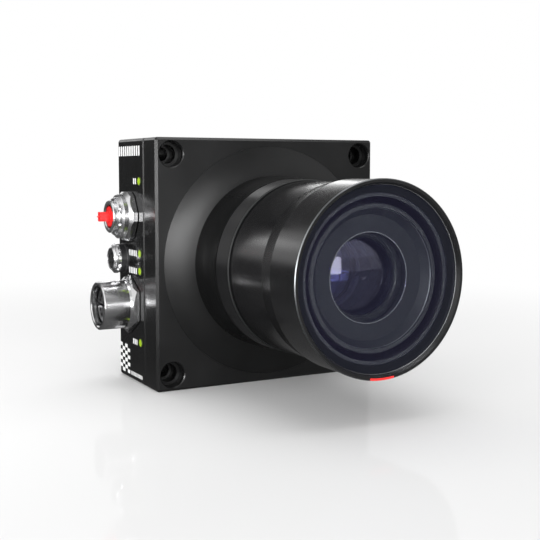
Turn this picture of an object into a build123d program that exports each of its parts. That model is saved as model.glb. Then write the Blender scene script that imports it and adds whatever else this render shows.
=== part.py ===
"""Machine vision camera with a protective lens tube and three round sockets on its side.

Millimetres. +Z is up, the lens looks along -Y and the sockets leave on -X. The origin is the
centre of the rear mounting face, on the optical axis.
"""
import math
import os

from build123d import *

# Housing: a front block and a rear block with a flat gasket between them
housing_side = 80.0
front_block_depth = 10.3
gasket_thickness = 0.5
rear_block_depth = 23.7
gasket_inset = 0.7
wall = 3.5
front_wall = 3.5
back_wall = 2.5
corner_round = 1.0
outer_chamfer = 0.8
seam_chamfer = 0.35
corner_block = 11.5
corner_clearance = 1.0
pocket_round = 2.0

# Corner mounting holes, stepped from the front
mount_hole_inset = 5.25
mount_hole_r = 2.25
step_bore_r = 3.0
step_bore_floor = 1.5
counterbore_r = 4.0
counterbore_depth = 4.1
hole_chamfer = 0.3

# Case screws, driven from the back, in bosses on the top and bottom walls
case_screw_setback = 18.0
case_screw_inset = 6.6
case_boss_r = 3.8
case_screw_r = 1.5
case_screw_grip = 4.2
case_screw_runout = 0.6
case_head_r = 2.7
case_head_height = 3.0
case_head_recess = 3.4
case_hole_clearance = 0.2
thread_clearance = 0.05
seat_clearance = 0.05

# Cap screw heads, as shares of the head
key_share = 0.5
key_depth_share = 0.6
head_edge_share = 0.08
sunk_key_share = 0.75

# Lens mount ring, seated on the front wall inside the collar
mount_ring_width = 9.8
mount_ring_thickness = 3.0
mount_bore_r = 12.7
mount_spigot_wall = 5.2
mount_screw_inset = 2.3
mount_screw_r = 1.0
mount_screw_head_r = 1.9
mount_screw_length = 5.5
mount_screw_count = 4
flange_to_sensor = 17.526

# Lens: fixed base, focus ring, moving barrel
base_foot_inset = 3.4
base_foot_height = 3.0
base_thread_length = 3.8
base_body_height = 5.5
base_neck_slope = 1.0
ring_seat_height = 2.5
sleeve_r = 15.0
sleeve_wall = 1.8
sleeve_setback = 2.4
running_gap = 0.05
ring_gap = 0.3
skirt_wall = 1.95
skirt_clearance = 1.2
ring_seat_wall = 1.2
focus_ring_wall = 2.4
focus_ring_length = 14.3
grip_groove_count = 36
grip_groove_r = 0.55
grip_margin = 2.0
lens_edge = 0.3
barrel_length = 33.5
barrel_wall = 2.0
barrel_web_thickness = 2.5
front_rim_width = 1.3
front_face_recess = 0.5
bezel_thickness = 1.6
bezel_dish = 2.2
bezel_flat_r = 17.6
bezel_opening_r = 12.65
cell_flange_gap = 1.3
cell_flange_thickness = 1.6
cell_wall = 2.2
front_cell_wall = 1.4
front_cell_lip = 1.0
front_cell_foot = 3.6
cell_bezel_gap = 0.4
lock_screw_r = 1.0
lock_head_r = 1.5
lock_head_height = 2.0
lock_screw_place = 7.4
lock_screw_turn = 90.0

# Lens elements: radius, rim thickness, domes and seats
front_element_r = 11.9
front_element_rim = 4.0
front_element_front_sag = 1.9
front_element_back_sag = -1.2
front_element_sink = 8.6
front_retainer_thickness = 1.6
retainer_bevel = 0.5
middle_element_r = 9.6
middle_element_rim = 2.6
middle_element_sag = 1.5
middle_element_lift = 4.5
rear_element_r = 9.2
rear_element_rim = 3.0
rear_element_sag = 1.1
rear_element_lift = 3.6
cell_lip = 0.9
element_land = 1.0
cell_step = 2.0
stop_thickness = 0.4
stop_opening_r = 4.2
retainer_height = 1.4

# Lens tube: base ring, groove, main barrel, flare, wider front with the window
tube_clearance = 0.8
spigot_wall = 1.3
spigot_length = 6.2
tube_seal_thickness = 0.5
tube_seal_inset = 0.35
base_ring_wall = 2.0
base_ring_length = 8.2
base_ring_chamfer = 0.3
tube_socket_depth = 5.5
groove_width = 0.9
groove_wall = 1.0
tube_wall = 1.5
tube_length = 20.3
tube_edge = 0.45
flare_length = 6.5
flare_step = 0.9
front_tube_wall = 2.0
rim_step = 0.2
rim_length = 1.2
rim_edge_chamfer = 0.25
rim_bevel = 0.64
lens_lip_gap = 1.8
glass_lip_thickness = 1.5
lens_window_gap = 1.6
window_wall = 1.5
window_thickness = 2.0
window_recess = 1.3
window_gasket_thickness = 0.4
window_gasket_width = 2.2
window_clearance = 0.06

# Tube flange: a cone ring with a collar, set into the front face and held from inside
cone_margin = 2.6
cone_height = 2.3
cone_bulge = 0.35
cone_root = 1.0
flange_screw_gap = 1.4
flange_screw_count = 4
flange_screw_depth = 1.6
flange_screw_runout = 0.2
collar_thread_gap = 0.3
collar_base_wall = 2.6
collar_tip_wall = 1.8
collar_straight = 8.5
collar_height = 15.3
collar_lip = 0.4

# Side sockets: the top one's distance from the back face, the others' shift from it, heights, seals
socket_line_inset = 10.7
mid_socket_shift = 5.25
low_socket_shift = -0.7
top_socket_z = 14.6
mid_socket_z = 0.3
low_socket_z = -14.5
side_seal_thickness = 0.25
socket_edge = 0.3

# Top push-pull socket, each radius from the one inside it
top_bore_r = 3.92
top_ring_wall = 1.43
top_neck_inset = 0.45
top_barrel_step = 0.85
top_flange_step = 1.1
top_shank_inset = 0.8
top_flat_margin = 0.7
top_corner_cut = 0.42
top_corner_reach = 0.6
top_corner_turn = 30.0
top_nut_thickness = 2.5
top_face_share = 0.92
top_chamfer_angle = 45.0
top_flange_height = 1.65
top_barrel_height = 1.25
top_neck_height = 1.1
top_ring_height = 0.5
top_bore_depth = 7.0
top_shank_length = 7.4
top_notch_count = 8
top_notch_width = 1.1
top_notch_depth = 0.8
top_notch_rise = 0.7

# Red dust plug in the top socket
plug_gap = 0.67
plug_rib_gap = 0.37
plug_rib_width = 0.4
plug_rib_slope = 0.3
plug_rib_depth = 2.2
plug_sink = 0.25
plug_stem_length = 5.0
plug_tab_height = 3.1
plug_tab_thickness = 2.0
plug_tab_length = 3.45
plug_nib_r = 0.45
plug_nib_length = 0.8
plug_nib_root = 0.2
plug_edge = 0.35

# Middle small round socket, each radius from its bore, each height from the one below it
mid_bore_r = 3.3
mid_shank_wall = 0.4
mid_tip_wall = 0.25
mid_cone_wall = 0.8
mid_groove_wall = 0.6
mid_bevel_wall = 1.05
mid_ring_wall = 1.65
mid_collar_wall = 1.45
mid_flange_wall = 1.7
mid_flange_height = 0.75
mid_flange_edge = 0.2
mid_collar_height = 1.7
mid_ring_edge = 0.25
mid_ring_height = 0.85
mid_bevel_height = 0.45
mid_groove_height = 0.25
mid_cone_height = 0.6
mid_insert_recess = 0.2
mid_mouth_chamfer = 0.1
mid_shank_length = 6.4
mid_notch_count = 6
mid_notch_width = 0.7
mid_notch_depth = 0.35
mid_notch_start = 15.0
mid_pin_r = 0.45
mid_pin_wall = 0.2
mid_pin_circle_r = 1.7
mid_pin_count = 5
mid_pin_depth = 4.0
mid_pin_start = 90.0
mid_key_width = 0.8
mid_key_height = 0.8
mid_key_depth = 3.0
contact_recess = 0.6

# Bottom round socket with a shielded insert, each radius from its sleeve
low_sleeve_r = 7.9
low_sleeve_wall = 1.21
low_shank_inset = 0.36
low_shank_wall = 1.6
low_flat_margin = 0.6
low_corner_reach = 1.2
low_face_share = 0.96
low_chamfer_angle = 37.0
low_seal_margin = 0.8
low_hex_thickness = 2.05
low_hex_turn = 30.0
low_sleeve_length = 9.3
low_sleeve_root = 0.5
low_root_height = 0.7
low_bore_floor = 3.2
low_shank_length = 6.8
low_insert_gap = 0.8
low_insert_round = 0.7
low_insert_edge = 0.3
low_insert_recess = 2.0
low_slot_width = 0.95
low_shield_thickness = 0.6
low_shield_recess = 2.0
low_contact_r = 0.55
low_contact_wall = 0.25
low_contact_inset = 2.35
low_contact_spread = 17.0
low_quadrant_count = 4

# Light pipes beside the sockets
pipe_r = 1.35
pipe_seam_gap = 3.3
top_pipe_inset = 13.8
low_pipe_inset = 13.7
inner_pipe_heights = (2.8, -2.9)
pipe_proud = 0.15
pipe_dome = 0.1

# Boards and what they carry
board_thickness = 1.6
sensor_board_side = 38.0
sensor_board_corner = 3.0
sensor_package = (19.0, 15.5, 2.6)
sensor_pocket = (15.0, 11.6, 1.0)
sensor_glass_thickness = 0.7
sensor_cover_gap = 0.35
board_spacer_r = 2.4
board_screw_r = 1.0
board_screw_head_r = 1.9
board_screw_head_height = 1.3
board_screw_length = 5.0
sensor_hole_inset = 3.2
main_board_gap = 6.9
main_board_margin = 6.5
main_boss_height = 5.0
main_boss_r = 2.6
main_hole_inset = 3.5
processor_side = 17.0
processor_height = 1.4
pad_side = 15.0
memory_size = (9.0, 11.0, 1.1)
memory_spacing = 14.0
link_size = (14.0, 4.5)
link_inset = 3.5
socket_board_gap = 11.5
socket_board_back_gap = 0.7
socket_board_end_gap = 0.5
socket_post_r = 1.2
socket_post_inset = 1.9
led_side = 2.0
led_height = 0.8
led_gap = 0.4
led_margin = 1.0
header_width = 14.0
header_height = 3.2
header_overlap = 2.4

# Planes: the housing's front face, its local Z forward, and the back face
housing_depth = front_block_depth + gasket_thickness + rear_block_depth
front_y = -housing_depth
FRONT = Plane(origin=(0, front_y, 0), x_dir=(1, 0, 0), z_dir=(0, -1, 0))
BACK = Plane(origin=(0, 0, 0), x_dir=(-1, 0, 0), z_dir=(0, 1, 0))

# Housing, worked out
cavity_side = housing_side - 2 * wall
seam_depth = front_block_depth + gasket_thickness
step_bore_depth = front_block_depth - step_bore_floor
case_screw_x = housing_side / 2 - case_screw_setback
case_screw_z = housing_side / 2 - case_screw_inset
case_screw_length = rear_block_depth - case_head_recess + gasket_thickness + case_screw_grip

# Lens along its axis, worked out from the mount ring
mount_ring_r = mount_bore_r + mount_ring_width
mount_spigot_r = mount_bore_r + mount_spigot_wall
mount_screw_circle_r = mount_ring_r - mount_screw_inset
sensor_height = mount_ring_thickness - flange_to_sensor
base_top = mount_ring_thickness + base_foot_height + base_body_height
focus_ring_low = base_top + ring_gap
focus_ring_high = focus_ring_low + focus_ring_length
barrel_shoulder = focus_ring_high + ring_gap
skirt_start = base_top + ring_seat_height + skirt_clearance
skirt_r = sleeve_r + running_gap + skirt_wall
focus_bore_r = skirt_r + ring_gap
ring_seat_r = focus_bore_r + ring_seat_wall
lens_r = ring_seat_r + focus_ring_wall
base_foot_r = lens_r - base_foot_inset
barrel_bore_r = lens_r - barrel_wall
sleeve_end = barrel_shoulder - sleeve_setback
cell_seat = barrel_shoulder + barrel_web_thickness
lens_front = barrel_shoulder + barrel_length
bezel_face = lens_front - front_face_recess
bezel_floor = bezel_face - bezel_dish
bezel_seat = bezel_floor - bezel_thickness
rear_element_back = mount_ring_thickness + rear_element_lift
middle_element_back = cell_seat + middle_element_lift
front_element_back = bezel_floor - front_element_sink
lock_screw_height = focus_ring_low + lock_screw_place

# Tube around the lens, worked out from the inside to the outside
sleeve_inner_r = lens_r + lock_head_height + tube_clearance
spigot_r = sleeve_inner_r + spigot_wall
collar_bore_r = spigot_r + collar_thread_gap
collar_tip_r = collar_bore_r + collar_tip_wall
collar_base_r = collar_bore_r + collar_base_wall
cone_outer_r = housing_side / 2 - cone_margin
flange_screw_circle_r = collar_base_r + flange_screw_gap
base_ring_r = spigot_r + base_ring_wall
groove_r = spigot_r + groove_wall
tube_r = spigot_r + tube_wall
front_tube_r = tube_r + flare_step
rim_r = front_tube_r + rim_step
front_bore_r = front_tube_r - front_tube_wall
window_r = front_tube_r - window_wall
glass_lip_r = lens_r + lens_lip_gap
tube_seat = collar_height + tube_seal_thickness
base_ring_end = tube_seat + base_ring_length
tube_tail = base_ring_end - tube_socket_depth
flare_start = base_ring_end + tube_length
flare_end = flare_start + flare_length
glass_back = lens_front + lens_window_gap
window_face = glass_back + window_thickness
rim_end = window_face + window_recess
lip_front = glass_back - window_gasket_thickness

# Sockets, worked out: their depths behind the front face, radii, and heights from the side face
socket_line_depth = housing_depth - socket_line_inset
mid_socket_depth = socket_line_depth + mid_socket_shift
low_socket_depth = socket_line_depth + low_socket_shift
top_ring_r = top_bore_r + top_ring_wall
top_neck_r = top_ring_r - top_neck_inset
top_barrel_r = top_ring_r + top_barrel_step
top_flange_r = top_barrel_r + top_flange_step
top_shank_r = top_barrel_r - top_shank_inset
top_nut_flats = 2 * (top_flange_r + top_flat_margin)
top_nut_corner_r = top_nut_flats / 2 + top_corner_cut
top_nut_round_r = top_nut_flats / 2 + top_corner_reach
top_nut_end = side_seal_thickness + top_nut_thickness
top_flange_end = top_nut_end + top_flange_height
top_barrel_end = top_flange_end + top_barrel_height
top_neck_end = top_barrel_end + top_neck_height
top_ring_end = top_neck_end + top_ring_height
plug_seat = top_ring_end - plug_sink
plug_r = top_bore_r - plug_gap
plug_rib_r = top_bore_r - plug_rib_gap
plug_tab_end = plug_seat + plug_tab_length
mid_shank_r = mid_bore_r + mid_shank_wall
mid_tip_r = mid_bore_r + mid_tip_wall
mid_cone_r = mid_bore_r + mid_cone_wall
mid_groove_r = mid_bore_r + mid_groove_wall
mid_bevel_r = mid_bore_r + mid_bevel_wall
mid_ring_r = mid_bore_r + mid_ring_wall
mid_collar_r = mid_bore_r + mid_collar_wall
mid_flange_r = mid_bore_r + mid_flange_wall
mid_collar_end = mid_flange_height + mid_collar_height
mid_ring_start = mid_collar_end + mid_ring_edge
mid_ring_end = mid_ring_start + mid_ring_height
mid_bevel_end = mid_ring_end + mid_bevel_height
mid_groove_end = mid_bevel_end + mid_groove_height
mid_end = mid_groove_end + mid_cone_height
mid_face = mid_end - mid_insert_recess
low_bore_r = low_sleeve_r - low_sleeve_wall
low_shank_r = low_sleeve_r - low_shank_inset
low_shank_bore_r = low_shank_r - low_shank_wall
low_flats = 2 * (low_sleeve_r + low_flat_margin)
low_hex_round_r = low_flats / 2 + low_corner_reach
low_seal_r = low_shank_r + low_seal_margin
low_insert_r = low_bore_r - low_insert_gap
low_contact_circle_r = low_insert_r - low_contact_inset
low_hex_end = side_seal_thickness + low_hex_thickness
low_end = low_hex_end + low_sleeve_length
low_face = low_end - low_insert_recess

# Light pipes, beside the seam
pipe_depth = seam_depth + pipe_seam_gap
pipe_heights = (housing_side / 2 - top_pipe_inset, *inner_pipe_heights, low_pipe_inset - housing_side / 2)
pipe_offset = socket_line_depth - pipe_depth

# Boards, worked out
sensor_board_face = sensor_height - sensor_package[2] + sensor_pocket[2]
sensor_board_back = sensor_board_face - board_thickness
main_board_back = back_wall + main_boss_height - housing_depth
main_board_face = main_board_back + board_thickness
socket_board_inside = socket_board_gap + board_thickness - housing_side / 2
main_board_left = socket_board_inside + main_board_gap
main_board_right = cavity_side / 2 - main_board_margin
main_board_width = main_board_right - main_board_left
main_board_x = (main_board_right + main_board_left) / 2
main_board_height = housing_side - 2 * (corner_block + corner_clearance)
link_z = link_inset - sensor_board_side / 2
socket_board_height = housing_side - 2 * (corner_block + socket_board_end_gap)
socket_board_front = pipe_offset + led_side / 2 + led_margin
socket_board_rear = back_wall + socket_board_back_gap - socket_line_inset


def side_plane(height, depth=socket_line_depth):
    """Plane on the connector side, its Z outward, its Y up, at a socket's height and depth."""
    origin = (-housing_side / 2, front_y + depth, height)
    return Plane(origin=origin, x_dir=(0, -1, 0), z_dir=(-1, 0, 0))


def turned(*points):
    """Solid of revolution about local Z from (radius, height) points."""
    outline = Polyline(*[(radius, 0, height) for radius, height in points], close=True)
    return revolve(make_face(outline), axis=Axis.Z)


def ring(outer_r, inner_r, low, high):
    return turned((inner_r, low), (outer_r, low), (outer_r, high), (inner_r, high))


def disc(radius, low, high):
    return turned((0, low), (radius, low), (radius, high), (0, high))


def block(width, height, low, high, x=0.0, y=0.0):
    return Pos(x, y, (low + high) / 2) * Box(width, height, high - low)


def corner_points(x, y):
    return [(sx * x, sy * y) for sx in (-1, 1) for sy in (-1, 1)]


def polar_points(radius, count, start=0.0):
    angles = [math.radians(start + 360 * i / count) for i in range(count)]
    return [(radius * math.cos(a), radius * math.sin(a)) for a in angles]


def hex_blank(flats, low, high, face_share, round_r, angle, turn=0.0):
    """Hexagon prism with its corners turned off at its outer face, at an angle to that face."""
    prism = Pos(0, 0, low) * extrude(
        RegularPolygon(flats / 2, 6, major_radius=False, rotation=turn), high - low
    )
    face_r = face_share * flats / 2
    drop = (round_r - face_r) * math.tan(math.radians(angle))
    return prism & turned((0, low), (round_r, low), (round_r, high - drop), (face_r, high), (0, high))


def dome_point(radius, sag, share):
    """Point on a dome, as (radius, drop from the crown), at a share of its angle."""
    sphere_r = (radius * radius + sag * sag) / (2 * sag)
    angle = share * math.asin(radius / abs(sphere_r))
    return abs(sphere_r) * math.sin(angle), sphere_r * (1 - math.cos(angle))


def lens_element(radius, rim, front_sag, back_sag, back):
    """Round glass with a flat land at its rim; a positive sag stands proud, a negative one is hollow."""
    dome_r = radius - element_land
    front_mid, front_drop = dome_point(dome_r, front_sag, 0.5)
    back_mid, back_drop = dome_point(dome_r, back_sag, 0.5)
    crown = back + rim + front_sag
    foot = back - back_sag
    edges = [
        ThreePointArc((0, 0, crown), (front_mid, 0, crown - front_drop), (dome_r, 0, back + rim)),
        Line((dome_r, 0, back + rim), (radius, 0, back + rim)),
        Line((radius, 0, back + rim), (radius, 0, back)),
        Line((radius, 0, back), (dome_r, 0, back)),
        ThreePointArc((dome_r, 0, back), (back_mid, 0, foot + back_drop), (0, 0, foot)),
        Line((0, 0, foot), (0, 0, crown)),
    ]
    return revolve(make_face(Wire(edges)), axis=Axis.Z)


def socket_screw(radius, length, head_r, head_height):
    """Cap screw along local Z: bearing face at 0, shank below, hexagon socket in the head."""
    edge = head_height * head_edge_share
    body = turned(
        (0, -length), (radius, -length), (radius, 0), (head_r, 0),
        (head_r, head_height - edge), (head_r - edge, head_height), (0, head_height),
    )
    key_depth = head_height * key_depth_share
    key = extrude(RegularPolygon(head_r * key_share, 6), key_depth)
    return body - Pos(0, 0, head_height - key_depth) * key


def at(points, part):
    """Copies of a part at points of its local XY plane."""
    return [Pos(x, y, 0) * part for x, y in points]


def group(plane, solids):
    return Compound(children=[plane.location * solid for solid in solids])


def cavity_outline():
    """Inside of the housing: a square less the corner blocks and the case screw bosses."""
    reach = corner_block - wall
    centre = (cavity_side - reach) / 2
    outline = Rectangle(cavity_side, cavity_side)
    for x, y in corner_points(centre, centre):
        outline -= Pos(x, y) * Rectangle(reach, reach)
    outline = fillet(outline.vertices(), pocket_round)
    for x, y in case_screw_points():
        outline -= Pos(x, y) * Circle(case_boss_r)
    return outline


def housing_outline():
    return RectangleRounded(housing_side, housing_side, corner_round)


def edges_at(part, height):
    """Outer edges of a housing block at a local height."""
    limit = housing_side / 2 - 2 * corner_round
    found = part.edges().filter_by(lambda e: abs(e.center().Z - height) < 1e-6)
    return found.filter_by(lambda e: max(abs(e.center().X), abs(e.center().Y)) > limit)


def mount_points():
    place = housing_side / 2 - mount_hole_inset
    return corner_points(place, place)


def case_screw_points():
    return corner_points(case_screw_x, case_screw_z)


def front_housing():
    body = extrude(housing_outline(), -front_block_depth)
    body = chamfer(edges_at(body, 0), outer_chamfer)
    body = chamfer(edges_at(body, -front_block_depth), seam_chamfer)
    body -= disc(mount_spigot_r + seat_clearance, -front_block_depth, 0)
    pocket_depth = front_block_depth - front_wall
    body -= Pos(0, 0, -front_block_depth) * extrude(cavity_outline(), pocket_depth)
    mount_hole = turned(
        (0, -front_block_depth), (mount_hole_r, -front_block_depth), (mount_hole_r, -step_bore_depth),
        (step_bore_r, -step_bore_depth), (step_bore_r, -counterbore_depth),
        (counterbore_r, -counterbore_depth), (counterbore_r, -hole_chamfer),
        (counterbore_r + hole_chamfer, 0), (0, 0),
    )
    body -= at(mount_points(), mount_hole)
    tapped_depth = case_screw_grip + case_screw_runout
    tapped = disc(case_screw_r + thread_clearance, -front_block_depth, tapped_depth - front_block_depth)
    body -= at(case_screw_points(), tapped)
    mount_tapped = disc(mount_screw_r + thread_clearance, -front_wall, 0)
    body -= at(polar_points(mount_screw_circle_r, mount_screw_count), mount_tapped)
    body -= ring(cone_outer_r + seat_clearance, collar_bore_r - seat_clearance, -cone_root, 0)
    flange_hole = disc(board_screw_r + thread_clearance, -front_wall, 0)
    body -= at(flange_screw_points(), flange_hole)
    return FRONT.location * body


def flange_screw_points():
    return polar_points(flange_screw_circle_r, flange_screw_count)


def tube_flange():
    middle_r = (cone_outer_r + collar_base_r) / 2
    crown = ThreePointArc(
        (cone_outer_r, 0, 0), (middle_r, 0, cone_height / 2 + cone_bulge), (collar_base_r, 0, cone_height)
    )
    corners = [
        (collar_base_r, cone_height), (collar_base_r, collar_straight), (collar_tip_r, collar_height),
        (collar_bore_r + collar_lip, collar_height), (collar_bore_r, collar_height - collar_lip),
        (collar_bore_r, -cone_root), (cone_outer_r, -cone_root), (cone_outer_r, 0),
    ]
    rest = Polyline(*[(radius, 0, height) for radius, height in corners])
    body = revolve(make_face(Wire([crown, *rest.edges()])), axis=Axis.Z)
    tapped = disc(board_screw_r + thread_clearance, -cone_root, flange_screw_depth - cone_root)
    body -= at(flange_screw_points(), tapped)
    return FRONT.location * body


def flange_screws():
    length = front_wall - cone_root + flange_screw_depth - flange_screw_runout
    screw = socket_screw(board_screw_r, length, board_screw_head_r, board_screw_head_height)
    seat = Plane(origin=(0, 0, -front_wall), x_dir=(1, 0, 0), z_dir=(0, 0, -1))
    return group(FRONT, at(flange_screw_points(), seat.location * screw))


def housing_gasket():
    side = housing_side - 2 * gasket_inset
    outline = RectangleRounded(side, side, corner_round)
    outline -= cavity_outline()
    outline -= [Pos(x, y) * Circle(step_bore_r) for x, y in mount_points()]
    hole = Circle(case_screw_r + case_hole_clearance)
    outline -= [Pos(x, y) * hole for x, y in case_screw_points()]
    sheet = extrude(outline, -gasket_thickness)
    return FRONT.location * Pos(0, 0, -front_block_depth) * sheet


def rear_housing():
    body = extrude(housing_outline(), -rear_block_depth)
    body = chamfer(edges_at(body, 0), seam_chamfer)
    body = chamfer(edges_at(body, -rear_block_depth), outer_chamfer)
    floor = back_wall - rear_block_depth
    body -= extrude(cavity_outline(), floor)
    post = ring(main_boss_r, board_screw_r + thread_clearance, floor, floor + main_boss_height)
    for solid in at(main_board_holes(), post):
        body += solid
    hole = turned(
        (0, -rear_block_depth), (mount_hole_r + hole_chamfer, -rear_block_depth),
        (mount_hole_r, hole_chamfer - rear_block_depth), (mount_hole_r, 0), (0, 0),
    )
    body -= at(mount_points(), hole)
    head_hole_r = case_head_r + case_hole_clearance
    screw_hole_r = case_screw_r + case_hole_clearance
    screw_hole = turned(
        (0, -rear_block_depth), (head_hole_r, -rear_block_depth),
        (head_hole_r, case_head_recess - rear_block_depth),
        (screw_hole_r, case_head_recess - rear_block_depth), (screw_hole_r, 0), (0, 0),
    )
    body -= at(case_screw_points(), screw_hole)
    body = FRONT.location * Pos(0, 0, -seam_depth) * body
    for height, depth, radius, length in (
        (top_socket_z, socket_line_depth, top_shank_r, top_shank_length),
        (mid_socket_z, mid_socket_depth, mid_shank_r, mid_shank_length),
        (low_socket_z, low_socket_depth, low_shank_r, low_shank_length),
    ):
        body -= side_plane(height, depth).location * disc(radius + thread_clearance, -length, 0)
    bore = disc(pipe_r + seat_clearance, -socket_board_gap, 0)
    for height in pipe_heights:
        body -= side_plane(height).location * Pos(pipe_offset, 0, 0) * bore
    return body


def case_screws():
    screw = socket_screw(case_screw_r, case_screw_length, case_head_r, case_head_height)
    seated = Pos(0, 0, -case_head_recess) * screw
    return group(BACK, at(case_screw_points(), seated))


def lens_mount_ring():
    bore_r = mount_bore_r + thread_clearance
    body = turned(
        (bore_r, -front_wall), (mount_spigot_r, -front_wall), (mount_spigot_r, 0), (mount_ring_r, 0),
        (mount_ring_r, mount_ring_thickness - hole_chamfer),
        (mount_ring_r - hole_chamfer, mount_ring_thickness), (bore_r, mount_ring_thickness),
    )
    sink = mount_screw_head_r - mount_screw_r
    hole = turned(
        (0, 0), (mount_screw_r + thread_clearance, 0),
        (mount_screw_r + thread_clearance, mount_ring_thickness - sink),
        (mount_screw_head_r + thread_clearance, mount_ring_thickness), (0, mount_ring_thickness),
    )
    body -= at(polar_points(mount_screw_circle_r, mount_screw_count), hole)
    return FRONT.location * body


def mount_ring_screws():
    sink = mount_screw_head_r - mount_screw_r
    top = mount_ring_thickness
    screw = turned(
        (0, top - mount_screw_length), (mount_screw_r, top - mount_screw_length),
        (mount_screw_r, top - sink), (mount_screw_head_r, top), (0, top),
    )
    key_depth = sink * key_depth_share
    key = extrude(RegularPolygon(mount_screw_r * sunk_key_share, 6), key_depth)
    screw -= Pos(0, 0, top - key_depth) * key
    return group(FRONT, at(polar_points(mount_screw_circle_r, mount_screw_count), screw))


def lens_base():
    seat = mount_ring_thickness
    foot_top = seat + base_foot_height
    ring_seat_top = base_top + ring_seat_height
    sleeve_bore_r = sleeve_r - sleeve_wall
    glass_bore_r = rear_element_r + seat_clearance
    lip_r = rear_element_r - cell_lip
    bore_step = rear_element_back + rear_element_rim + retainer_height + rear_element_sag
    body = turned(
        (lip_r, seat - base_thread_length), (mount_bore_r, seat - base_thread_length),
        (mount_bore_r, seat), (base_foot_r, seat), (base_foot_r, foot_top - base_neck_slope),
        (lens_r, foot_top), (lens_r, base_top), (ring_seat_r, base_top), (ring_seat_r, ring_seat_top),
        (sleeve_r, ring_seat_top), (sleeve_r, sleeve_end), (sleeve_bore_r, sleeve_end),
        (sleeve_bore_r, bore_step), (glass_bore_r, bore_step), (glass_bore_r, rear_element_back),
        (lip_r, rear_element_back),
    )
    return FRONT.location * body


def rear_element():
    glass = lens_element(
        rear_element_r, rear_element_rim, rear_element_sag, rear_element_sag, rear_element_back
    )
    return FRONT.location * glass


def rear_retainer():
    low = rear_element_back + rear_element_rim
    return FRONT.location * ring(rear_element_r, rear_element_r - cell_lip, low, low + retainer_height)


def lock_screw_plane():
    return Plane(origin=(0, 0, lock_screw_height), x_dir=(1, 0, 0), z_dir=(0, 1, 0))


def focus_ring():
    low = focus_ring_low
    high = focus_ring_high
    ledge = base_top + ring_seat_height + ring_gap
    inner_r = ring_seat_r + running_gap
    body = turned(
        (inner_r, low), (lens_r - lens_edge, low), (lens_r, low + lens_edge),
        (lens_r, high - lens_edge), (lens_r - lens_edge, high), (focus_bore_r, high),
        (focus_bore_r, ledge), (inner_r, ledge),
    )
    groove = Pos(lens_r, 0, low + grip_margin) * extrude(
        Circle(grip_groove_r), focus_ring_length - 2 * grip_margin
    )
    pitch = 360 / grip_groove_count
    turns = [pitch * (i + 0.5) for i in range(grip_groove_count)]
    body -= [Rot(0, 0, turn) * groove for turn in turns if abs(turn - lock_screw_turn) > pitch]
    body -= lock_screw_plane().location * disc(lock_screw_r + thread_clearance, 0, lens_r)
    return FRONT.location * body


def focus_lock_screw():
    head_top = lens_r + lock_head_height
    screw = turned(
        (0, focus_bore_r), (lock_screw_r, focus_bore_r), (lock_screw_r, lens_r),
        (lock_head_r, lens_r), (lock_head_r, head_top - lens_edge),
        (lock_head_r - lens_edge, head_top), (0, head_top),
    )
    return FRONT.location * lock_screw_plane().location * screw


def lens_barrel():
    """Outer shell of the lens: a skirt that slides on the base's sleeve, a web and the front wall."""
    rim_inner = lens_r - front_rim_width
    slide_r = sleeve_r + running_gap
    body = turned(
        (slide_r, skirt_start), (skirt_r, skirt_start), (skirt_r, barrel_shoulder),
        (lens_r - lens_edge, barrel_shoulder), (lens_r, barrel_shoulder + lens_edge),
        (lens_r, lens_front - lens_edge), (lens_r - lens_edge, lens_front), (rim_inner, lens_front),
        (rim_inner, bezel_seat), (barrel_bore_r, bezel_seat), (barrel_bore_r, cell_seat),
        (slide_r, cell_seat),
    )
    return FRONT.location * body


def lens_cell():
    """Inner tube that carries the front and middle glass, seated on the barrel's web."""
    flange_r = barrel_bore_r - cell_flange_gap
    flange_top = cell_seat + cell_flange_thickness
    waist_r = middle_element_r + cell_wall
    waist_end = front_element_back - front_cell_foot
    front_bore = front_element_r + front_cell_wall
    front_outer = front_bore + front_cell_lip
    cell_end = bezel_seat - cell_bezel_gap
    middle_top = middle_element_back + middle_element_rim + retainer_height
    retainer_top = front_element_back + front_element_rim + front_retainer_thickness
    front_seat_r = front_element_r + seat_clearance
    middle_seat_r = middle_element_r + seat_clearance
    front_lip_r = front_element_r - cell_lip
    middle_lip_r = middle_element_r - cell_lip
    body = turned(
        (middle_lip_r, cell_seat), (flange_r, cell_seat), (flange_r, flange_top), (waist_r, flange_top),
        (waist_r, waist_end), (front_outer, waist_end + front_outer - waist_r),
        (front_outer, cell_end), (front_bore, cell_end), (front_bore, retainer_top),
        (front_seat_r, retainer_top), (front_seat_r, front_element_back),
        (front_lip_r, front_element_back), (front_lip_r, middle_top + cell_step),
        (middle_seat_r, middle_top), (middle_seat_r, middle_element_back),
        (middle_lip_r, middle_element_back),
    )
    return FRONT.location * body


def front_bezel():
    outer = lens_r - front_rim_width - seat_clearance
    body = turned(
        (bezel_opening_r, bezel_seat), (outer, bezel_seat), (outer, bezel_face), (bezel_flat_r, bezel_floor),
        (bezel_opening_r, bezel_floor),
    )
    return FRONT.location * body


def front_element():
    glass = lens_element(
        front_element_r, front_element_rim, front_element_front_sag, front_element_back_sag,
        front_element_back,
    )
    return FRONT.location * glass


def front_retainer():
    low = front_element_back + front_element_rim
    high = low + front_retainer_thickness
    inner = front_element_r - cell_lip
    body = turned(
        (inner, low), (front_element_r, low), (front_element_r, high),
        (inner + retainer_bevel, high), (inner, high - retainer_bevel),
    )
    return FRONT.location * body


def middle_element():
    glass = lens_element(
        middle_element_r, middle_element_rim, middle_element_sag, middle_element_sag,
        middle_element_back,
    )
    return FRONT.location * glass


def middle_retainer():
    low = middle_element_back + middle_element_rim
    return FRONT.location * ring(middle_element_r, middle_element_r - cell_lip, low, low + retainer_height)


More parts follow.
